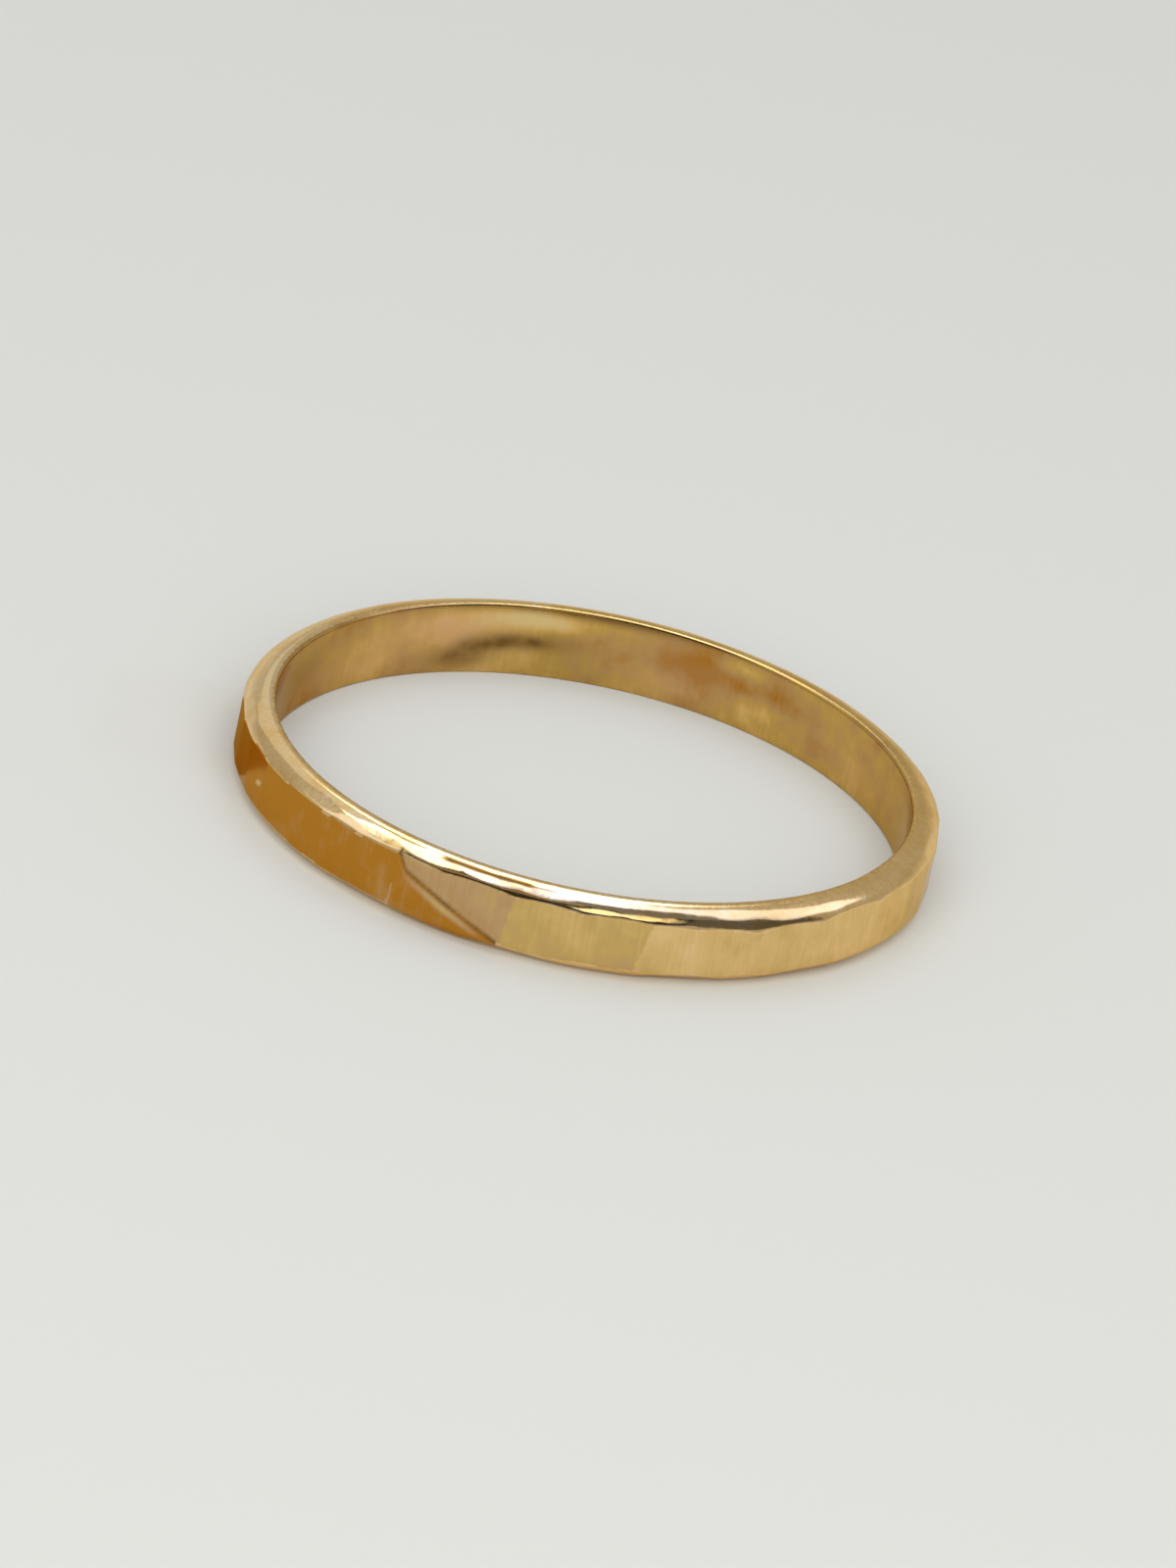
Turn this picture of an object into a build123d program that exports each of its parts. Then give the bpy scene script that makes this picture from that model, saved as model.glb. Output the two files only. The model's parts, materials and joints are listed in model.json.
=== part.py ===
from build123d import *
import os
from math import cos, radians, sin

# A hammered stacking band: one piece of D-shaped wire, closed round the finger, with the dome of the
# wire planished into flats. Millimetres and degrees. +Z is the finger's axis, the band lies on z = 0,
# and the origin is in the middle of the bore at that level. The front is -Y.

# Driving dimensions
bore_diameter = 17.3        # inside, which is US size 7
band_width = 2.1            # along the finger
bore_edge_radius = 0.1      # eases the bore into the lands
land_width = 0.1            # the level strips, above and below, that it lies and stacks on
shoulder_radius = 0.8       # rounds the dome of the wire, from a land over to the face

bore_radius = bore_diameter / 2
land_inner_radius = bore_radius + bore_edge_radius
land_outer_radius = land_inner_radius + land_width
crown_radius = land_outer_radius + shoulder_radius
lower_centre = shoulder_radius      # the heights that the two shoulders are rounded about
upper_centre = band_width - shoulder_radius
mid_width = band_width / 2
arc_middle = cos(radians(45))

# The ridges that the blows leave between them, once round the face. The flat after each ridge runs
# on to the next one.
#   bearing: degrees round the band, from the front towards +X
#   wall:    metal left between the bore and the ridge, at mid-width
#   lean:    degrees that the flat after the ridge tips up (+) or down (-)
ridges = [
    # bearing, wall, lean
    (-55.0, 0.86, 1.0),
    (-44.6, 0.85, -0.5),
    (-35.0, 0.85, 1.5),
    (-28.0, 0.84, 0.5),
    (-19.0, 0.84, 2.0),
    (-8.0, 0.86, 0.5),
    (4.0, 0.88, 1.5),
    (14.0, 0.88, -0.5),
    (22.5, 0.90, 0.0),
    (32.0, 0.94, -2.5),
    (46.5, 0.91, 1.5),
    (59.0, 0.88, 0.0),
    (70.0, 0.87, 1.0),
    (78.0, 0.87, -1.0),
    (86.0, 0.84, 1.0),
    (94.5, 0.81, -0.5),
    (103.0, 0.81, 0.5),
    (112.0, 0.83, 0.5),
    (121.0, 0.86, 2.0),
    (133.0, 0.90, 0.0),
    (145.0, 0.91, -1.5),
    (155.0, 0.89, 1.0),
    (164.0, 0.87, -0.5),
    (176.0, 0.89, 1.0),
    (187.0, 0.90, -1.0),
    (198.0, 0.88, 1.5),
    (207.0, 0.86, 0.0),
    (219.0, 0.90, -1.5),
    (231.0, 0.91, 0.5),
    (241.0, 0.88, 2.0),
    (249.0, 0.865, -0.5),
    (257.5, 0.87, 1.0),
    (266.0, 0.87, -1.0),
    (274.0, 0.875, 0.5),
    (282.0, 0.87, -0.5),
    (290.0, 0.865, 1.0),
    (298.0, 0.86, -0.5),
]

# Stray blows that caught the shoulders.
#   bearing: as above
#   lean:    the way the small flat faces, up (+) or down (-) from level
#   depth:   how much of the shoulder it took
shoulder_blows = [
    # bearing, lean, depth
    (-61, 48, 0.016),
    (-46, 54, 0.020),
    (-33, 57, 0.020),
    (-22, 60, 0.020),
    (-12, 61, 0.020),
    (-3, 62, 0.018),
    (7, 44, 0.010),
    (12.5, 47, 0.008),
    (18, 43, 0.006),
    (29, 60, 0.010),
    (38, 54, 0.010),
    (48, 56, 0.008),
    (84, 45, 0.030),
    (117, 40, 0.035),
    (169, 50, 0.030),
    (226, 42, 0.035),
    (281, 48, 0.026),
    (-33.5, -52, 0.060),
    (-8, -58, 0.040),
    (21, -55, 0.045),
    (43, -50, 0.035),
    (63, -56, 0.040),
    (138, -42, 0.035),
]


def outward(bearing):
    """The level direction away from the axis, at a bearing."""
    return Vector(sin(radians(bearing)), -cos(radians(bearing)), 0)


def tipped(level, lean):
    """A level direction, tipped up by the lean."""
    return level * cos(radians(lean)) + Vector(0, 0, sin(radians(lean)))


def face_flat(ridge, next_ridge):
    """The plane of the flat that runs from one ridge to the next."""
    bearing, wall, lean = ridge
    next_bearing, next_wall, _ = next_ridge
    height = Vector(0, 0, mid_width)
    start = outward(bearing) * (bore_radius + wall) + height
    end = outward(next_bearing) * (bore_radius + next_wall) + height
    level = (end - start).cross(Vector(0, 0, 1)).normalized()
    return Plane(origin=(start + end) / 2, z_dir=tipped(level, lean))


def shoulder_flat(bearing, lean, depth):
    """The plane of a small flat on the upper or the lower shoulder."""
    centre_height = upper_centre if lean > 0 else lower_centre
    centre = outward(bearing) * land_outer_radius + Vector(0, 0, centre_height)
    direction = tipped(outward(bearing), lean)
    return Plane(origin=centre + direction * (shoulder_radius - depth), z_dir=direction)


with BuildPart() as band:
    # The wire's section, standing on the resting plane
    with BuildSketch(Plane.XZ) as section:
        with BuildLine():
            bore_edge_middle = bore_edge_radius * (1 - arc_middle)
            Line((land_inner_radius, 0), (land_outer_radius, 0))
            CenterArc((land_outer_radius, lower_centre), shoulder_radius, start_angle=-90, arc_size=90)
            Line((crown_radius, lower_centre), (crown_radius, upper_centre))
            CenterArc((land_outer_radius, upper_centre), shoulder_radius, start_angle=0, arc_size=90)
            Line((land_outer_radius, band_width), (land_inner_radius, band_width))
            ThreePointArc(
                (land_inner_radius, band_width),
                (bore_radius + bore_edge_middle, band_width - bore_edge_middle),
                (bore_radius, band_width - bore_edge_radius),
            )
            Line((bore_radius, band_width - bore_edge_radius), (bore_radius, bore_edge_radius))
            ThreePointArc(
                (bore_radius, bore_edge_radius),
                (bore_radius + bore_edge_middle, bore_edge_middle),
                (land_inner_radius, 0),
            )
        make_face()
    revolve(axis=Axis.Z)

    # The hammering: each blow takes off what stands outside its plane
    first_bearing, first_wall, first_lean = ridges[0]
    closing_ridge = (first_bearing + 360, first_wall, first_lean)
    for ridge, next_ridge in zip(ridges, ridges[1:] + [closing_ridge]):
        split(bisect_by=face_flat(ridge, next_ridge), keep=Keep.BOTTOM)
    for bearing, lean, depth in shoulder_blows:
        split(bisect_by=shoulder_flat(bearing, lean, depth), keep=Keep.BOTTOM)

band.part.label = "band"

os.makedirs("parts", exist_ok=True)
export_step(band.part, "parts/band.step")
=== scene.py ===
import json
from math import atan2, cos, degrees, exp, hypot, pi, radians, sin

import bmesh
import bpy
from mathutils import Matrix, Vector


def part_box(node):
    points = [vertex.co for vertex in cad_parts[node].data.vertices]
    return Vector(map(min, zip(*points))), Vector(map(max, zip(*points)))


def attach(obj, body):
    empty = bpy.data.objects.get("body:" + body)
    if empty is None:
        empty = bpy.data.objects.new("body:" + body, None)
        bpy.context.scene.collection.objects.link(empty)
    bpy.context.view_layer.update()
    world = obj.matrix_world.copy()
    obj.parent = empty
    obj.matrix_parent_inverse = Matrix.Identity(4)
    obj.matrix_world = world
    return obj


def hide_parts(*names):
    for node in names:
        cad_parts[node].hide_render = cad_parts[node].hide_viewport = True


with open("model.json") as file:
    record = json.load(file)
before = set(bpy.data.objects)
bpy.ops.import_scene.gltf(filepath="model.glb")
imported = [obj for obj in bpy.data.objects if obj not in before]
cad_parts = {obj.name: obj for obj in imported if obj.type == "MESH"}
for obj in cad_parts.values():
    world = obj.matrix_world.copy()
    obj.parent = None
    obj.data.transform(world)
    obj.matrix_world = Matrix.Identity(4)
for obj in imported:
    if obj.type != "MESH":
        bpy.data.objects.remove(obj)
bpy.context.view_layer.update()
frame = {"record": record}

# A hammered stacking band, lying flat on a pale surface. Metres; angles in the tables are degrees.

MM = 0.001
HAIR = 0.001 * MM        # nearer than this, two vertices are one

# Sizes taken from the frame
band_low, band_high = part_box("band")
BAND_WIDTH = band_high.z - band_low.z
FINGER_HOLE = next(m for m in frame["record"]["mounts"] if m["name"] == "finger_hole")
BORE_RADIUS = FINGER_HOLE["dims"]["r_mm"] * MM

# The wire before it is hammered. The two lands are the level strips that the band lies and stacks on.
BORE_EDGE_RADIUS = 0.1 * MM
LAND_WIDTH = 0.1 * MM
SHOULDER_RADIUS = 0.8 * MM
LAND_INNER_RADIUS = BORE_RADIUS + BORE_EDGE_RADIUS
LAND_OUTER_RADIUS = LAND_INNER_RADIUS + LAND_WIDTH
CROWN_RADIUS = LAND_OUTER_RADIUS + SHOULDER_RADIUS
LOWER_CENTRE = SHOULDER_RADIUS
UPPER_CENTRE = BAND_WIDTH - SHOULDER_RADIUS
MID_WIDTH = BAND_WIDTH / 2

# Ridges left between the hammer blows round the face. The flat after each ridge runs to the next one.
#   bearing: round the band from the front, -Y, towards +X
#   wall:    metal between the bore and the ridge, in mm
#   lean:    how far the flat tips up (+) or down (-)
#   tone:    painted reflection tone of the flat, which also sets its polish: from 0, deep and warm, where it mirrors neighbouring gold, to 1, bright and pale; between, partly tone that differs from flat to flat
RIDGES = [
    # bearing, wall, lean, tone
    (-55.0, 0.86, 1.0, 0.04),
    (-44.6, 0.85, -0.5, 0.05),
    (-35.0, 0.85, 1.5, 0.08),
    (-28.0, 0.84, 0.5, 0.36),
    (-19.0, 0.84, 2.0, 0.40),
    (-8.0, 0.86, 0.5, 0.55),
    (4.0, 0.88, 1.5, 0.50),
    (14.0, 0.88, -0.5, 0.69),
    (22.5, 0.90, 0.0, 0.66),
    (32.0, 0.94, -2.5, 0.69),
    (46.5, 0.91, 1.5, 0.70),
    (59.0, 0.88, 0.0, 0.66),
    (70.0, 0.87, 1.0, 0.62),
    (78.0, 0.87, -1.0, 0.60),
    (86.0, 0.84, 1.0, 0.52),
    (94.5, 0.81, -0.5, 0.44),
    (103.0, 0.81, 0.5, 0.50),
    (112.0, 0.83, 0.5, 0.70),
    (121.0, 0.86, 2.0, 0.52),
    (133.0, 0.90, 0.0, 0.80),
    (145.0, 0.91, -1.5, 0.60),
    (155.0, 0.89, 1.0, 0.72),
    (164.0, 0.87, -0.5, 0.48),
    (176.0, 0.89, 1.0, 0.66),
    (187.0, 0.90, -1.0, 0.55),
    (198.0, 0.88, 1.5, 0.74),
    (207.0, 0.86, 0.0, 0.42),
    (219.0, 0.90, -1.5, 0.62),
    (231.0, 0.91, 0.5, 0.78),
    (241.0, 0.88, 2.0, 0.50),
    (249.0, 0.865, -0.5, 0.66),
    (257.5, 0.87, 1.0, 0.50),
    (266.0, 0.87, -1.0, 0.34),
    (274.0, 0.875, 0.5, 0.20),
    (282.0, 0.87, -0.5, 0.10),
    (290.0, 0.865, 1.0, 0.06),
    (298.0, 0.86, -0.5, 0.04),
]

# Stray blows that caught the shoulders: lean is the way the small flat faces, depth is in mm
SHOULDER_BLOWS = [
    # bearing, lean, depth
    (-61, 48, 0.016),
    (-46, 54, 0.020),
    (-33, 57, 0.020),
    (-22, 60, 0.020),
    (-12, 61, 0.020),
    (-3, 62, 0.018),
    (7, 44, 0.010),
    (12.5, 47, 0.008),
    (18, 43, 0.006),
    (29, 60, 0.010),
    (38, 54, 0.010),
    (48, 56, 0.008),
    (84, 45, 0.030),
    (117, 40, 0.035),
    (169, 50, 0.030),
    (226, 42, 0.035),
    (281, 48, 0.026),
    (-33.5, -52, 0.060),
    (-8, -58, 0.040),
    (21, -55, 0.045),
    (43, -50, 0.035),
    (63, -56, 0.040),
    (138, -42, 0.035),
]

# Painted reflection tone of the rims and of the bore, lower where they mirror darker surroundings, eased
# between the bearings
REFLECTION_TONES = [
    # bearing, rim, bore
    (-60, 0.94, 0.34),
    (-30, 0.94, 0.40),
    (0, 0.92, 0.50),
    (20, 0.82, 0.52),
    (45, 0.78, 0.54),
    (90, 0.74, 0.52),
    (125, 0.70, 0.50),
    (160, 0.76, 0.48),
    (200, 0.80, 0.52),
    (225, 0.88, 0.48),
    (250, 0.95, 0.42),
    (270, 0.97, 0.30),
    (300, 0.94, 0.34),
]

REFLECTION_TONE_RIM = 1           # the columns
REFLECTION_TONE_BORE = 2

# Painted reflections of neighbouring rings and painted shade inside the bore. What each adds fades out
# over its two reaches:
# tone; rose reflection, towards rose gold; and darkening, towards brown. Heights and the reach up are in
# mm.
BORE_REFLECTIONS_AND_SHADE = [
    # bearing, height, reach round, reach up, tone, rose reflection, darkening
    (125, 0.70, 14, 0.6, 0.04, 0.30, 0.10),
    (142, 1.30, 7, 0.5, 0.04, 0.00, 0.08),
    (148, 1.40, 4, 0.3, -0.30, 0.00, 0.10),
    (150, 0.60, 9, 0.4, 0.12, 0.00, 0.00),
    (156, 1.75, 4, 0.2, 0.30, 0.00, 0.00),
    (156, 1.25, 5, 0.3, -0.42, 0.00, 0.00),
    (167, 1.25, 9, 0.6, -0.45, 0.35, 0.22),
    (170, 0.50, 8, 0.35, 0.05, 0.40, 0.00),
    (196, 1.72, 10, 0.3, 0.62, 0.00, 0.00),
    (196, 1.05, 10, 0.28, 0.00, 0.00, 0.80),
    (188, 0.50, 9, 0.4, 0.02, 0.00, 0.20),
    (212, 1.40, 9, 0.5, 0.18, 0.75, 0.00),
    (205, 0.85, 5, 0.22, 0.00, 0.30, 0.60),
    (210, 0.46, 6, 0.3, 0.00, 0.40, 0.80),
    (227, 0.90, 9, 0.7, 0.12, 0.45, 0.00),
    (238, 1.60, 12, 0.4, 0.04, 0.00, 0.12),
    (244, 0.50, 12, 0.4, -0.04, 0.35, 0.15),
    (251, 1.15, 8, 0.5, -0.06, 0.00, 0.30),
    (270, 0.90, 14, 0.9, -0.10, 0.20, 0.40),
    (188, 1.99, 26, 0.10, -0.10, 0.00, 0.70),
]

# The vertex attributes that carry the painted tones to the material: reflection tone with the polish,
# rose reflection, and darkening
TONE_LAYERS = ("polish_and_painted_reflection", "painted_rose_reflection", "painted_darkening")

# A fine rough scratch along the upper shoulder, painted dark brown as a dark reflection in the highlight.
# It fades in and out over its ends.
SCRATCH_BEARINGS = (-22, -4)
SCRATCH_RADIUS = 9.11 * MM
SCRATCH_WIDTH = 0.18 * MM
SCRATCH_ENDS = 2
SCRATCH_DARKENING = 2.0

# A painted reflection of a neighbouring wire ring across the face, a slanting dark line: bearings and
# heights in mm. It reaches in over half of the shoulder. Under it the face is painted amber, with a
# painted gleam in the amber.
WIRE_REFLECTION = ((-28.0, 1.95), (-26.0, 1.45), (-21.0, 1.15), (-9.0, 0.37))
WIRE_REFLECTION_INNER_RADIUS = LAND_OUTER_RADIUS + SHOULDER_RADIUS / 2
WIRE_REFLECTION_LINE_WIDTH = 0.11      # above the painted line, and as much below it, in mm
WIRE_REFLECTION_DARKENING = 1.15
WIRE_REFLECTION_AMBER_TONE = 0.06
PAINTED_GLEAM_BEARING = -18.5
PAINTED_GLEAM_REACH_ROUND = 6.0
PAINTED_GLEAM_DROP = 0.18        # under the painted line, in mm
PAINTED_GLEAM_REACH_UP = 0.10
PAINTED_GLEAM_TONE = 0.62

# A small nick in the face, that climbs a little to the right, painted brighter than the face as a
# highlight
NICK_BEARING = -64.0
NICK_WALL = 0.86 * MM
NICK_HEIGHT = 0.98 * MM
NICK_LENGTH = 0.50 * MM
NICK_WIDTH = 0.24 * MM
NICK_CLIMB = 0.3         # rise for each step along it
NICK_DEPTH = 0.012 * MM
NICK_HIGHLIGHT_TONE = 0.9

# Unevenness that the hand leaves: where, how broad its swells are, and how deep
SWELLS = [
    # vertex group, breadth, depth
    ("outside", 1.6 * MM, 0.022 * MM),
    ("outside", 0.9 * MM, 0.010 * MM),
    ("outside", 0.5 * MM, 0.004 * MM),
    ("inside", 2.2 * MM, 0.020 * MM),
]
SWELL_BIAS = 0.6         # over a half, so that the swells stay within the wire's true size
LEVEL_EDGE = 0.03 * MM   # this near to the lands' levels, the surface stays true

# How finely the band is divided
TURN_STEPS = 1100
SHOULDER_STEPS = 24
BORE_EDGE_STEPS = 4
FACE_CUTS = 7
BORE_CUTS = 16
LAND_CUTS = 2


# ---- selecting and shaping in edit mode ----

def select_verts(piece, test):
    """In edit mode, selects the vertices whose place passes the test, and returns how many there are."""
    bpy.ops.mesh.select_mode(type="VERT")
    bpy.ops.mesh.select_all(action="DESELECT")
    mesh = bmesh.from_edit_mesh(piece.data)
    for vert in mesh.verts:
        vert.select = test(vert.co)
    mesh.select_flush(True)
    bmesh.update_edit_mesh(piece.data)
    return sum(vert.select for vert in mesh.verts)


def cut_edges(piece, nearest, farthest, cuts):
    """In edit mode, divides the section's edges that lie between two distances from the axis."""
    bpy.ops.mesh.select_mode(type="EDGE")
    bpy.ops.mesh.select_all(action="DESELECT")
    mesh = bmesh.from_edit_mesh(piece.data)
    for edge in mesh.edges:
        edge.select = all(nearest - HAIR < vert.co.x < farthest + HAIR for vert in edge.verts)
    bmesh.update_edit_mesh(piece.data)
    bpy.ops.mesh.subdivide(number_cuts=cuts)


def apply_modifier(piece, kind, **settings):
    """Adds a modifier to the piece, and applies it."""
    modifier = piece.modifiers.new(kind.title(), kind)
    for name, value in settings.items():
        setattr(modifier, name, value)
    bpy.ops.object.modifier_apply(modifier=modifier.name)


# ---- the band ----

def outward(bearing):
    """The level direction away from the axis, at a bearing."""
    return Vector((sin(radians(bearing)), -cos(radians(bearing)), 0))


def tipped(level, lean):
    """A level direction, tipped up by the lean."""
    return level * cos(radians(lean)) + Vector((0, 0, sin(radians(lean))))


def face_flat(ridge, next_ridge):
    """A point on the flat between two ridges, and the way it faces."""
    bearing, wall, lean, _ = ridge
    next_bearing, next_wall, _, _ = next_ridge
    height = Vector((0, 0, MID_WIDTH))
    start = outward(bearing) * (BORE_RADIUS + wall * MM) + height
    end = outward(next_bearing) * (BORE_RADIUS + next_wall * MM) + height
    level = (end - start).cross(Vector((0, 0, 1))).normalized()
    return (start + end) / 2, tipped(level, lean)


def shoulder_flat(bearing, lean, depth):
    """A point on a small flat that a stray blow left on a shoulder, and the way it faces."""
    centre_height = UPPER_CENTRE if lean > 0 else LOWER_CENTRE
    centre = outward(bearing) * LAND_OUTER_RADIUS + Vector((0, 0, centre_height))
    direction = tipped(outward(bearing), lean)
    return centre + direction * (SHOULDER_RADIUS - depth * MM), direction


def draw_section():
    """The wire's section: a plate stood on the floor, its corners rounded, and only its outline kept."""
    middle = (BORE_RADIUS + CROWN_RADIUS) / 2
    bpy.ops.object.select_all(action="DESELECT")
    bpy.ops.mesh.primitive_plane_add(size=1, location=(middle, 0, MID_WIDTH), rotation=(pi / 2, 0, 0))
    piece = bpy.context.object
    piece.scale = (CROWN_RADIUS - BORE_RADIUS, BAND_WIDTH, 1)
    bpy.ops.object.transform_apply(location=True, rotation=True, scale=True)
    bpy.ops.object.mode_set(mode="EDIT")
    select_verts(piece, lambda place: place.x > middle)
    bpy.ops.mesh.bevel(offset=SHOULDER_RADIUS, segments=SHOULDER_STEPS, affect="VERTICES")
    select_verts(piece, lambda place: place.x < LAND_INNER_RADIUS)
    bpy.ops.mesh.bevel(offset=BORE_EDGE_RADIUS, segments=BORE_EDGE_STEPS, affect="VERTICES")

    # Only the outline is kept, its straight stretches divided: the face, the bore and the two lands
    bpy.ops.mesh.select_all(action="SELECT")
    bpy.ops.mesh.delete(type="ONLY_FACE")
    cut_edges(piece, CROWN_RADIUS, CROWN_RADIUS, FACE_CUTS)
    cut_edges(piece, BORE_RADIUS, BORE_RADIUS, BORE_CUTS)
    cut_edges(piece, LAND_INNER_RADIUS, LAND_OUTER_RADIUS, LAND_CUTS)
    bpy.ops.object.mode_set(mode="OBJECT")
    return piece


def turn_into_band(piece):
    """Turns the outline once round the finger's axis, into a closed skin."""
    apply_modifier(
        piece, "SCREW", axis="Z", angle=2 * pi, screw_offset=0, steps=TURN_STEPS, render_steps=TURN_STEPS,
        use_merge_vertices=True, merge_threshold=HAIR,
    )
    bpy.ops.object.mode_set(mode="EDIT")
    bpy.ops.mesh.select_all(action="SELECT")
    bpy.ops.mesh.remove_doubles(threshold=HAIR)
    bpy.ops.mesh.normals_make_consistent(inside=False)
    bpy.ops.object.mode_set(mode="OBJECT")


def strike(piece, point, direction, tone=None):
    """One hammer blow: what stands outside the plane is pressed onto it, and may take another painted
    reflection tone.
    """
    if not select_verts(piece, lambda place: (place - point).dot(direction) > 0):
        return
    if tone is not None:
        mesh = bmesh.from_edit_mesh(piece.data)
        polish_and_painted_reflection = mesh.verts.layers.float["polish_and_painted_reflection"]
        for vert in mesh.verts:
            if vert.select:
                vert[polish_and_painted_reflection] = tone
    across = direction.orthogonal().normalized()
    axes = Matrix((across, direction.cross(across), direction)).transposed()
    bpy.ops.transform.resize(
        value=(1, 1, 0), orient_type="GLOBAL", orient_matrix=axes, orient_matrix_type="GLOBAL",
        constraint_axis=(False, False, True), center_override=point,
    )


def bearing_at(place):
    """The bearing of a place, from -180 to 180."""
    return degrees(atan2(place.x, -place.y))


def painted_reflection_tone(place, column):
    """The painted reflection tone at a place, eased between the two rows of the table on either side of
    it.
    """
    first_bearing = REFLECTION_TONES[0][0]
    bearing = (bearing_at(place) - first_bearing) % 360 + first_bearing
    for low, high in zip(REFLECTION_TONES, REFLECTION_TONES[1:]):
        if low[0] <= bearing <= high[0]:
            share = (bearing - low[0]) / (high[0] - low[0])
            share = share * share * (3 - 2 * share)
            return low[column] + share * (high[column] - low[column])


def bore_reflections_and_shade_at(place):
    """What the painted reflections and shade add at a place in the bore: tone, rose reflection and
    darkening.
    """
    totals = [0.0, 0.0, 0.0]
    for bearing, height, reach_round, reach_up, *amounts in BORE_REFLECTIONS_AND_SHADE:
        turn = (bearing_at(place) - bearing + 180) % 360 - 180
        rise = place.z / MM - height
        strength = exp(-(turn / reach_round) ** 2 - (rise / reach_up) ** 2)
        totals = [total + strength * amount for total, amount in zip(totals, amounts)]
    return totals


def scratch_at(place):
    """How much of the scratch's painted darkening lies at a place."""
    start, end = SCRATCH_BEARINGS
    bearing = bearing_at(place)
    off_line = abs(place.xy.length - SCRATCH_RADIUS) / (SCRATCH_WIDTH / 2)
    if place.z < MID_WIDTH or off_line > 1 or not start < bearing < end:
        return 0.0
    from_end = min(bearing - start, end - bearing, SCRATCH_ENDS) / SCRATCH_ENDS
    return SCRATCH_DARKENING * (1 - off_line * off_line) * from_end


def paint_tones(piece):
    """Gives every vertex its painted tones: in the bore with the painted reflections and shade, and
    outside it with the scratch's painted darkening.
    """
    for name in TONE_LAYERS:
        piece.data.attributes.new(name, "FLOAT", "POINT")
    layers = [piece.data.attributes[name].data for name in TONE_LAYERS]
    for vert in piece.data.vertices:
        if vert.co.xy.length < LAND_INNER_RADIUS:
            tone, *tints = bore_reflections_and_shade_at(vert.co)
            tones = (painted_reflection_tone(vert.co, REFLECTION_TONE_BORE) + tone, *tints)
        else:
            tones = (painted_reflection_tone(vert.co, REFLECTION_TONE_RIM), 0.0, scratch_at(vert.co))
        for layer, value in zip(layers, tones):
            layer[vert.index].value = value


def hammer(piece):
    """Strikes the flats once round the face, each with its own painted reflection tone, then the stray
    blows.
    """
    bpy.ops.object.mode_set(mode="EDIT")
    first_bearing, *rest = RIDGES[0]
    closing_ridge = (first_bearing + 360, *rest)
    for ridge, next_ridge in zip(RIDGES, RIDGES[1:] + [closing_ridge]):
        *_, tone = ridge
        strike(piece, *face_flat(ridge, next_ridge), tone)
    for blow in SHOULDER_BLOWS:
        strike(piece, *shoulder_flat(*blow))
    bpy.ops.object.mode_set(mode="OBJECT")


def wire_reflection_height(bearing):
    """The painted line's height at a bearing, in mm. Beyond its ends, None."""
    for (start, start_height), (end, end_height) in zip(WIRE_REFLECTION, WIRE_REFLECTION[1:]):
        if start < bearing <= end:
            share = (bearing - start) / (end - start)
            return start_height + share * (end_height - start_height)
    return None


def paint_wire_reflection(piece):
    """Paints a neighbouring wire's reflection: a slanting dark line, amber under it, and a painted gleam
    in the amber.
    """
    polish_and_painted_reflection, painted_darkening = [piece.data.attributes[name].data for name in ("polish_and_painted_reflection", "painted_darkening")]
    for vert in piece.data.vertices:
        bearing = bearing_at(vert.co)
        line_height = wire_reflection_height(bearing)
        if line_height is None or vert.co.xy.length < WIRE_REFLECTION_INNER_RADIUS:
            continue
        drop = line_height - vert.co.z / MM
        if drop > 0:
            off_round = (bearing - PAINTED_GLEAM_BEARING) / PAINTED_GLEAM_REACH_ROUND
            off_height = (drop - PAINTED_GLEAM_DROP) / PAINTED_GLEAM_REACH_UP
            polish_and_painted_reflection[vert.index].value = WIRE_REFLECTION_AMBER_TONE + PAINTED_GLEAM_TONE * exp(-off_round ** 2 - off_height ** 2)
        painted_darkening[vert.index].value = WIRE_REFLECTION_DARKENING * max(0.0, 1 - abs(drop) / WIRE_REFLECTION_LINE_WIDTH)


def nick(piece):
    """A dent where a hard edge touched the face, painted brighter than the flat round it as a highlight.
    """
    face = BORE_RADIUS + NICK_WALL
    centre = outward(NICK_BEARING) * face + Vector((0, 0, NICK_HEIGHT))
    along_face = Vector((0, 0, 1)).cross(outward(NICK_BEARING))

    def off_middle(place):
        """How far off the nick's middle a place lies: 1 at its edge."""
        offset = place - centre
        along = offset.dot(along_face)
        return max(
            hypot(2 * along / NICK_LENGTH, 2 * (offset.z - NICK_CLIMB * along) / NICK_WIDTH),
            offset.length / NICK_LENGTH,
        )

    bpy.ops.object.mode_set(mode="EDIT")
    select_verts(piece, lambda place: off_middle(place) < 1)
    mesh = bmesh.from_edit_mesh(piece.data)
    polish_and_painted_reflection = mesh.verts.layers.float["polish_and_painted_reflection"]
    for vert in mesh.verts:
        if vert.select:
            vert[polish_and_painted_reflection] += NICK_HIGHLIGHT_TONE * (1 - off_middle(vert.co) ** 2)
    bpy.ops.transform.translate(
        value=outward(NICK_BEARING) * -NICK_DEPTH, use_proportional_edit=True,
        proportional_edit_falloff="SMOOTH", proportional_size=NICK_WIDTH / 2,
    )
    bpy.ops.object.mode_set(mode="OBJECT")


def uneven(piece, group, breadth, depth):
    """Presses and raises the surface a little, as the hand leaves it."""
    texture = bpy.data.textures.new("handwork", "CLOUDS")
    texture.noise_scale = breadth
    texture.noise_depth = 1
    apply_modifier(
        piece, "DISPLACE", texture=texture, texture_coords="LOCAL", direction="NORMAL",
        strength=depth, mid_level=SWELL_BIAS, vertex_group=group,
    )


def group_verts(piece, name, test):
    """Puts the vertices whose place passes the test into a new vertex group."""
    group = piece.vertex_groups.new(name=name)
    group.add([vert.index for vert in piece.data.vertices if test(vert.co)], 1.0, "REPLACE")


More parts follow.
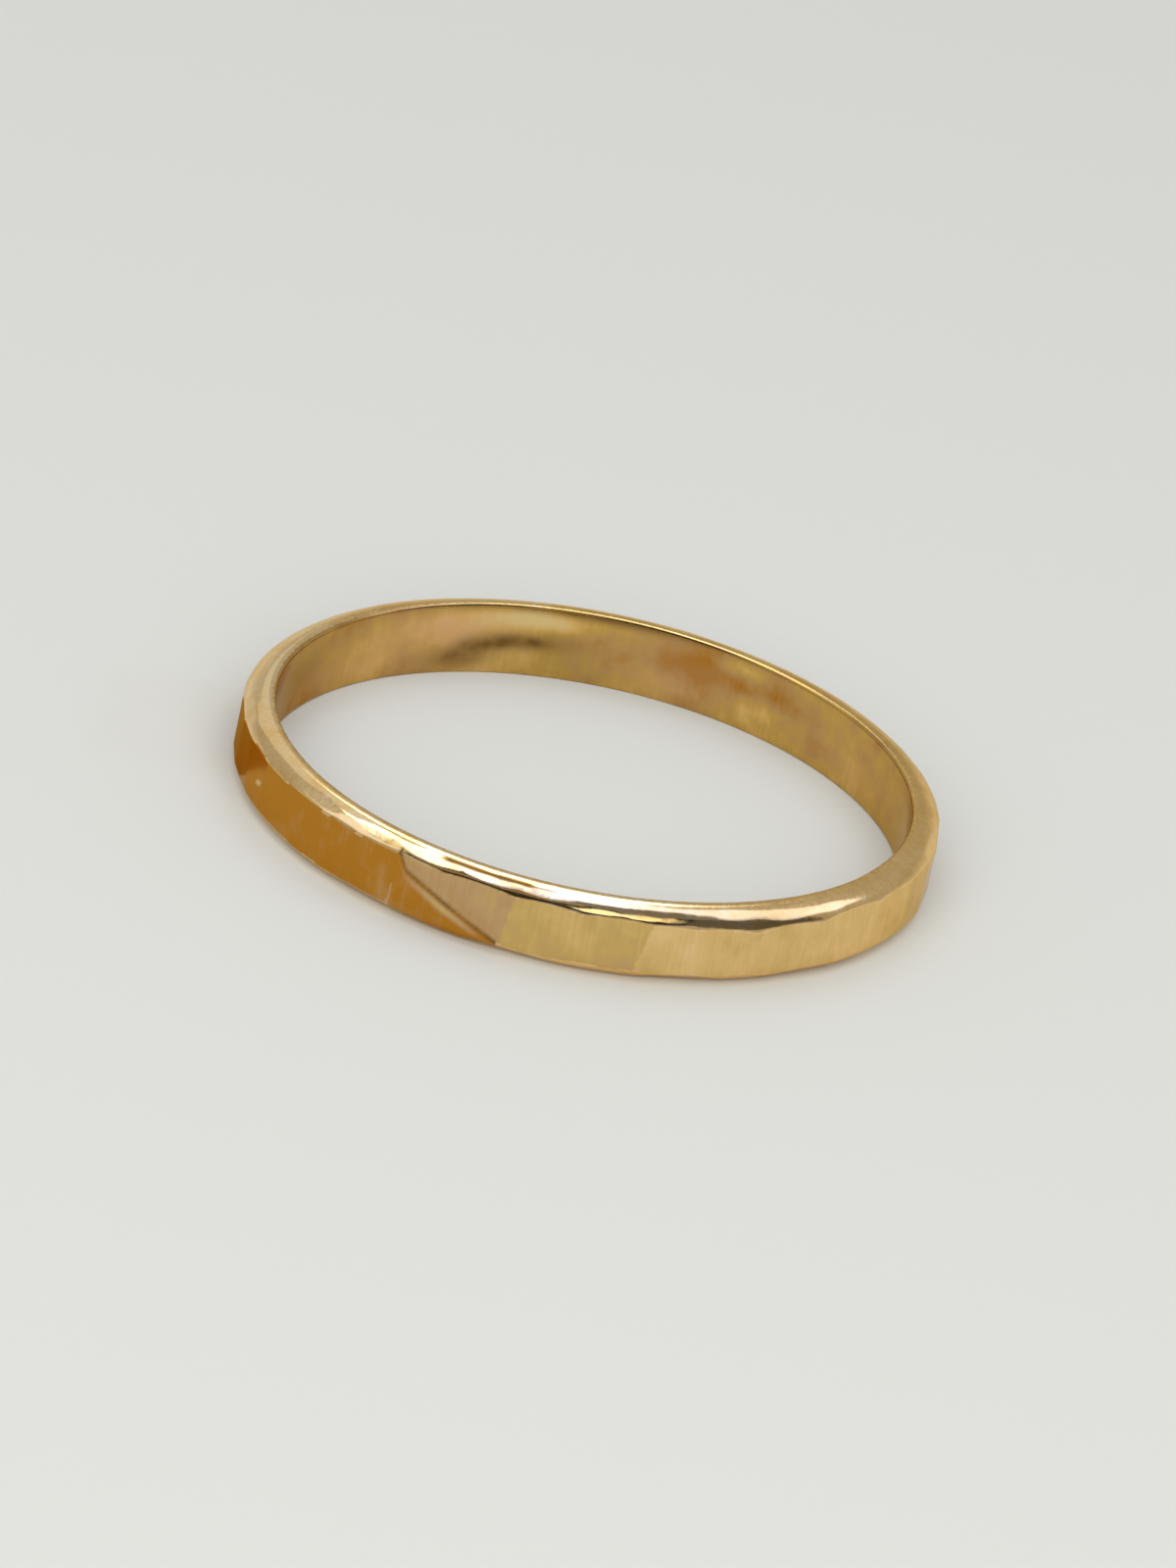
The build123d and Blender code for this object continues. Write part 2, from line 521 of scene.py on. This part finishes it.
def is_outside(place):
    return place.xy.length > LAND_OUTER_RADIUS and LEVEL_EDGE < place.z < BAND_WIDTH - LEVEL_EDGE


def is_inside(place):
    return place.xy.length < BORE_RADIUS + BORE_EDGE_RADIUS / 2


def make_band():
    piece = draw_section()
    turn_into_band(piece)
    paint_tones(piece)
    hammer(piece)
    group_verts(piece, "outside", is_outside)
    group_verts(piece, "inside", is_inside)
    apply_modifier(piece, "SMOOTH", factor=0.5, iterations=3, vertex_group="outside")
    for swell in SWELLS:
        uneven(piece, *swell)
    paint_wire_reflection(piece)
    nick(piece)
    bpy.ops.object.shade_smooth()
    piece.name = "hammered_band"
    return piece


# ---- materials ----

# Colours, linear
AMBER_GOLD = (0.52, 0.225, 0.025, 1)
ROSY_GOLD = (0.61, 0.39, 0.19, 1)
OLIVE_GOLD = (0.69, 0.465, 0.155, 1)
PALE_GOLD = (0.89, 0.605, 0.265, 1)
CREAM_GOLD = (0.92, 0.72, 0.44, 1)
ROSE_REFLECTION_GOLD = (0.88, 0.54, 0.36, 1)
BROWN_PAINTED_DARKENING = (0.22, 0.115, 0.03, 1)
BORE_TINT = (0.92, 0.86, 0.62, 1)
EDGE_TINT = (0.88, 0.76, 0.56, 1)
PALE_FLOOR = (0.735, 0.742, 0.715, 1)

# The gold at each painted tone, from 0, deep and warm, the amber of neighbouring gold mirrored, to 1,
# bright and pale
GOLD_AT_TONE = {0.0: AMBER_GOLD, 0.35: ROSY_GOLD, 0.55: OLIVE_GOLD, 0.8: PALE_GOLD, 1.0: CREAM_GOLD}

# The middle part of a noise's range, where nearly all of it lies
NOISE_RANGE = (0.3, 0.7)

# Marks on the gold. A swing is how far a mark moves the tone, down and up.
STREAK_SIZE = 0.10       # in mm
STREAK_SQUASH = 0.07     # small, so that the streaks run up the face
STREAK_SWING = (-0.06, 0.06)
MOTTLE_SIZE = 0.55       # in mm
MOTTLE_SWING = (-0.07, 0.07)
CLOUD_SCALE = 0.32 / MM
CLOUD_SWING = (-0.16, 0.10)
MARK_DEPTH = 0.0015 * MM
STREAK_RELIEF = 0.5      # against the mottle's

# Marks in the bore alone, whose look fades out from this radius to the lands
BORE_FADE_RADIUS = BORE_RADIUS + 0.03 * MM
BORE_MOTTLE_SWING = (-0.06, 0.06)
PATCH_SCALE = 0.34 / MM
PATCH_SQUASH = 2.2       # large, so that the patches run round the bore
PATCH_RANGE = (0.38, 0.62)
PATCH_SWING = (-0.10, 0.10)

# How much of the painted rose reflection and the painted darkening shows, along the noise of the patches,
# and with the mottle
TINT_RANGE = (0.36, 0.60)
TINT_SHARE = (0.50, 1.15)
TINT_MOTTLE_SWING = (-0.25, 0.25)

DULL_ROUGHNESS, BRIGHT_ROUGHNESS = 0.20, 0.10
STREAK_ROUGHNESS = (-0.03, 0.05)
ROUGH_DARKENING_FROM = 1.2      # painted darkening stronger than this, only in the scratch, is also rough
DARKENING_ROUGHNESS = 0.5  # what the thickest adds


def new_material(name):
    material = bpy.data.materials.new(name)
    material.use_nodes = True
    return material, material.node_tree, material.node_tree.nodes["Principled BSDF"]


def put(tree, kind, inputs=None, **settings):
    """Adds a node to a tree. An input is a value, or the socket that feeds it."""
    node = tree.nodes.new("ShaderNode" + kind)
    for name, value in settings.items():
        setattr(node, name, value)
    for name, value in (inputs or {}).items():
        if isinstance(value, bpy.types.NodeSocket):
            tree.links.new(value, node.inputs[name])
        else:
            node.inputs[name].default_value = value
    return node


def new_group(name, inputs, outputs):
    """A node group with number inputs {name: default} and number outputs, and its two ends."""
    group = bpy.data.node_groups.new(name, "ShaderNodeTree")
    for label, default in inputs.items():
        socket = group.interface.new_socket(label, in_out="INPUT", socket_type="NodeSocketFloat")
        socket.default_value = default
    for label in outputs:
        group.interface.new_socket(label, in_out="OUTPUT", socket_type="NodeSocketFloat")
    return group, group.nodes.new("NodeGroupInput"), group.nodes.new("NodeGroupOutput")


def colour_ramp(tree, factor, stops):
    """A colour that runs through the stops, {factor: colour}."""
    node = put(tree, "ValToRGB", {"Fac": factor})
    elements = node.color_ramp.elements
    while len(elements) < len(stops):
        elements.new(0.5)
    for element, (position, colour) in zip(elements, sorted(stops.items())):
        element.position = position
        element.color = colour
    return node.outputs["Color"]


def blend(tree, factor, colour, second, blend_type="MIX"):
    """A colour blended with a second one."""
    node = put(tree, "MixRGB", {"Fac": factor, "Color1": colour, "Color2": second}, blend_type=blend_type)
    node.use_clamp = True
    return node.outputs["Color"]


def spread(tree, value, low, high, out_low=0.0, out_high=1.0):
    """The value stretched from one range to another, and clamped there."""
    limits = {"From Min": low, "From Max": high, "To Min": out_low, "To Max": out_high}
    return put(tree, "MapRange", {"Value": value, **limits}).outputs["Result"]


def swing(tree, noise, limits):
    """A noise stretched to swing between two limits."""
    return spread(tree, noise, *NOISE_RANGE, *limits)


def times(tree, first, second):
    return put(tree, "Math", {0: first, 1: second}, operation="MULTIPLY").outputs[0]


def plus(tree, first, second):
    return put(tree, "Math", {0: first, 1: second}, operation="ADD").outputs[0]


def marks_group():
    """Fine marks of the hammer's face and the polishing cloth: streaks up the face, and a soft mottle."""
    group, ends_in, ends_out = new_group(
        "tool_marks", {"Streak Size": STREAK_SIZE, "Mottle Size": MOTTLE_SIZE}, ("Streaks", "Mottle"),
    )
    place = put(group, "TexCoord").outputs["Object"]
    upright = put(group, "Mapping", {"Vector": place, "Scale": (1, 1, STREAK_SQUASH)}).outputs["Vector"]
    sizes = [ends_in.outputs[label] for label in ("Streak Size", "Mottle Size")]
    streak_scale, mottle_scale = [
        put(group, "Math", {0: 1 / MM, 1: size}, operation="DIVIDE").outputs[0] for size in sizes
    ]
    streaks = put(
        group, "TexNoise", {"Vector": upright, "Scale": streak_scale, "Detail": 3.0, "Roughness": 0.6},
    )
    mottle = put(
        group, "TexNoise", {"Vector": place, "Scale": mottle_scale, "Detail": 2.0, "Roughness": 0.5},
    )
    group.links.new(streaks.outputs["Fac"], ends_out.inputs["Streaks"])
    group.links.new(mottle.outputs["Fac"], ends_out.inputs["Mottle"])
    return group


def gold():
    """Yellow gold-filled wire, hammered and polished. Each flat keeps its own painted reflection tone,
    which also sets its polish.
    """
    material, tree, shader = new_material("gold_fill_hammered")
    sizes = {"Streak Size": STREAK_SIZE, "Mottle Size": MOTTLE_SIZE}
    marks = put(tree, "Group", sizes, node_tree=marks_group())
    streaks, mottle = marks.outputs["Streaks"], marks.outputs["Mottle"]
    polish_and_painted_reflection, painted_rose_reflection, painted_darkening = [
        put(tree, "Attribute", attribute_name=name).outputs["Fac"] for name in TONE_LAYERS
    ]

    # Tone: the painted reflection tone, low and warm where neighbouring gold is mirrored and the metal is
    # duller, high and pale where it is brighter, with soft clouds of both
    place = put(tree, "TexCoord").outputs["Object"]
    clouds = put(tree, "TexNoise", {"Vector": place, "Scale": CLOUD_SCALE, "Detail": 1.0}).outputs["Fac"]
    tone = plus(tree, polish_and_painted_reflection, swing(tree, clouds, CLOUD_SWING))
    tone = plus(tree, tone, swing(tree, mottle, MOTTLE_SWING))
    tone = plus(tree, tone, swing(tree, streaks, STREAK_SWING))

    # The bore is less evenly polished than the outside
    level = put(tree, "Mapping", {"Vector": place, "Scale": (1, 1, 0)}).outputs["Vector"]
    radius = put(tree, "VectorMath", {0: level}, operation="LENGTH").outputs["Value"]
    bore = spread(tree, radius, BORE_FADE_RADIUS, LAND_INNER_RADIUS, 1.0, 0.0)
    along = put(tree, "Mapping", {"Vector": place, "Scale": (1, 1, PATCH_SQUASH)}).outputs["Vector"]
    patches = put(tree, "TexNoise", {"Vector": along, "Scale": PATCH_SCALE, "Detail": 1.5}).outputs["Fac"]
    tone = plus(tree, tone, times(tree, bore, spread(tree, patches, *PATCH_RANGE, *PATCH_SWING)))
    tone = plus(tree, tone, times(tree, bore, swing(tree, mottle, BORE_MOTTLE_SWING)))

    # The painted rose reflections and painted darkening lie over the gold, in patches with uneven edges
    share = spread(tree, patches, *TINT_RANGE, *TINT_SHARE)
    share = plus(tree, share, swing(tree, mottle, TINT_MOTTLE_SWING))
    colour = colour_ramp(tree, tone, GOLD_AT_TONE)
    colour = blend(tree, times(tree, painted_rose_reflection, share), colour, ROSE_REFLECTION_GOLD)
    # The bore is painted warmer and a little darker, standing in for the warm reflections of gold inside
    # the band
    colour = blend(tree, bore, colour, BORE_TINT, "MULTIPLY")
    colour = blend(tree, times(tree, painted_darkening, share), colour, BROWN_PAINTED_DARKENING)
    tree.links.new(colour, shader.inputs["Base Color"])

    shader.inputs["Metallic"].default_value = 1.0
    shader.inputs["Specular Tint"].default_value = EDGE_TINT
    roughness = spread(tree, polish_and_painted_reflection, 0.0, 1.0, DULL_ROUGHNESS, BRIGHT_ROUGHNESS)
    roughness = plus(tree, roughness, swing(tree, streaks, STREAK_ROUGHNESS))
    rough_darkening = spread(tree, painted_darkening, ROUGH_DARKENING_FROM, SCRATCH_DARKENING, 0.0, DARKENING_ROUGHNESS)
    tree.links.new(plus(tree, roughness, rough_darkening), shader.inputs["Roughness"])

    relief = plus(tree, times(tree, streaks, STREAK_RELIEF), mottle)
    bump = put(tree, "Bump", {"Height": relief, "Strength": 1.0, "Distance": MARK_DEPTH})
    tree.links.new(bump.outputs["Normal"], shader.inputs["Normal"])
    return material


def paper():
    material, tree, shader = new_material("pale_surface")
    shader.inputs["Base Color"].default_value = PALE_FLOOR
    shader.inputs["Roughness"].default_value = 0.7
    shader.inputs["Specular IOR Level"].default_value = 0.2
    return material


# ---- the studio ----

FLOOR_RADIUS = 1.2

# The world's grey at each height, from the horizon, 0, to overhead, 1
SKY = {
    0.0: (0.80, 0.79, 0.76, 1),
    0.18: (0.62, 0.61, 0.58, 1),
    0.36: (0.44, 0.43, 0.40, 1),
    0.62: (0.48, 0.48, 0.48, 1),
    0.85: (0.54, 0.55, 0.57, 1),
}

# Softboxes, all facing the ring.
#   slant:  bearing of the long side seen from above, counter-clockwise from +X; None where it is level
#   unseen: the kind of reflection that the light stays out of, where there is one
WHITE = (1, 1, 1)
DAYLIGHT = (0.82, 0.92, 1.0)
SOFTBOXES = [
    # name, place, size, watts, colour, slant, unseen
    ("overhead", (0.12, 0.11, 0.42), (0.54, 0.235), 0.55, (0.56, 0.61, 1.0), 9, "diffuse"),
    ("left", (-0.31, 0.05, 0.42), (0.30, 0.22), 0.11, WHITE, 9, "diffuse"),
    ("fringe", (-0.10, -0.10, 0.42), (0.28, 0.09), 0.024, (1.0, 0.73, 0.40), 9, "diffuse"),
    ("window", (-0.09, 0.135, 0.42), (0.27, 0.19), 0.36, DAYLIGHT, 9, "diffuse"),
    ("window_foot", (-0.015, 0.30, 0.36), (0.11, 0.26), 0.20, DAYLIGHT, None, "diffuse"),
    ("right", (0.318, 0.169, 0.347), (0.18, 0.10), 0.025, (0.45, 0.54, 1.0), None, "diffuse"),
    ("side", (-0.130, 0.378, 0.301), (0.24, 0.29), 0.0503, WHITE, None, "diffuse"),
    ("glint", (0.114, -0.214, 0.437), (0.19, 0.10), 0.09, (1.0, 0.93, 0.68), None, None),
    ("ceiling", (0.0, -0.05, 0.50), (0.6, 0.6), 0.50, WHITE, None, "glossy"),
    ("fill", (0.0, -0.42, 0.24), (0.6, 0.3), 1.8, (1.0, 0.98, 0.94), None, "glossy"),
]

# Dark cards beyond the camera's view, facing the ring, that make the dark lines on the shoulder
DARK_CARDS = [
    # name, direction from the ring, distance, size, grey, slant
    ("dark_card_front", (-0.02, -0.36, 0.93), 0.55, (0.74, 0.68), 0.02, None),
    ("dark_card_right", (0.70, -0.20, 0.68), 0.60, (0.39, 0.39), 0.12, None),
    ("dark_card_corner", (0.098, -0.016, 0.38), 0.39, (0.167, 0.167), 0.22, 45),
]

# A warm card on the floor, which the left end of the face mirrors as it would another ring
WARM_CARD_PLACE = (-11.3 * MM, 0.7 * MM, 0.05 * MM)
WARM_CARD_SIZE = (3.85 * MM, 5.6 * MM)
WARM_CARD_COLOUR = (0.47, 0.28, 0.02)

# The camera looks from the front, -Y, and is rolled a little
CAMERA_ELEVATION = 24.8
CAMERA_ROLL = 12.2
CAMERA_DISTANCE = 0.288
CAMERA_LENS = 247.0
CAMERA_SENSOR = 36.0
CAMERA_CLIP = (0.01, 5.0)


def make_floor():
    bpy.ops.object.select_all(action="DESELECT")
    bpy.ops.mesh.primitive_circle_add(vertices=96, radius=FLOOR_RADIUS, fill_type="NGON")
    floor = bpy.context.object
    floor.name = "surface"
    floor.data.materials.append(paper())


def facing_ring(place, slant):
    """The turn that makes a flat thing at a place face the ring. Its long side is level, or slants."""
    back = Vector(place).normalized()
    along = Vector((0, 0, 1)).cross(back)
    if slant is not None:
        along = Vector((cos(radians(slant)), sin(radians(slant)), 0))
        along -= along.dot(back) * back
    along.normalize()
    return Matrix((along, back.cross(along), back)).transposed().to_euler()


def add_softbox(name, place, size, watts, colour, slant, unseen):
    light = bpy.data.lights.new(name, "AREA")
    light.shape = "RECTANGLE"
    light.size, light.size_y = size
    light.energy = watts
    light.color = colour
    box = bpy.data.objects.new(name, light)
    bpy.context.scene.collection.objects.link(box)
    box.location = place
    box.rotation_euler = facing_ring(place, slant)
    box.visible_camera = False
    box.visible_diffuse = unseen != "diffuse"
    box.visible_glossy = unseen != "glossy"


def add_card(name, place, turn, size, colour):
    """A card that only the polished metal sees."""
    bpy.ops.object.select_all(action="DESELECT")
    bpy.ops.mesh.primitive_plane_add(size=1, location=place)
    card = bpy.context.object
    card.name = name
    card.rotation_euler = turn
    card.scale = (*size, 1)
    bpy.ops.object.transform_apply(location=True, rotation=True, scale=True)
    material, tree, shader = new_material(name)
    shader.inputs["Base Color"].default_value = (*colour, 1)
    shader.inputs["Roughness"].default_value = 0.9
    card.data.materials.append(material)
    card.visible_camera = False
    card.visible_diffuse = False
    card.visible_shadow = False


def light_studio():
    world = bpy.data.worlds.new("studio")
    bpy.context.scene.world = world
    world.use_nodes = True
    tree = world.node_tree
    direction = put(tree, "TexCoord").outputs["Generated"]
    height = put(tree, "SeparateXYZ", {"Vector": direction}).outputs["Z"]
    tree.links.new(colour_ramp(tree, height, SKY), tree.nodes["Background"].inputs["Color"])
    for softbox in SOFTBOXES:
        add_softbox(*softbox)
    for name, direction, distance, size, grey, slant in DARK_CARDS:
        place = Vector(direction).normalized() * distance
        add_card(name, place, facing_ring(place, slant), size, (grey, grey, grey))
    add_card("warm_card", WARM_CARD_PLACE, (0, 0, 0), WARM_CARD_SIZE, WARM_CARD_COLOUR)


def place_camera():
    data = bpy.data.cameras.new("camera")
    data.lens = CAMERA_LENS
    data.sensor_width = CAMERA_SENSOR
    data.clip_start, data.clip_end = CAMERA_CLIP
    camera = bpy.data.objects.new("camera", data)
    bpy.context.scene.collection.objects.link(camera)
    elevation = radians(CAMERA_ELEVATION)
    back = Vector((0, -cos(elevation), sin(elevation)))
    target = Vector((0, 0, MID_WIDTH))
    camera.location = target + back * CAMERA_DISTANCE
    turn = (-back).to_track_quat("-Z", "Y").to_matrix()
    turn = turn @ Matrix.Rotation(radians(CAMERA_ROLL), 3, "Z")
    camera.rotation_euler = turn.to_euler()
    bpy.context.scene.camera = camera


band = make_band()
band.data.materials.append(gold())
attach(band, "root")
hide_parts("band")

make_floor()
light_studio()
place_camera()
bpy.context.scene.view_settings.view_transform = "Standard"
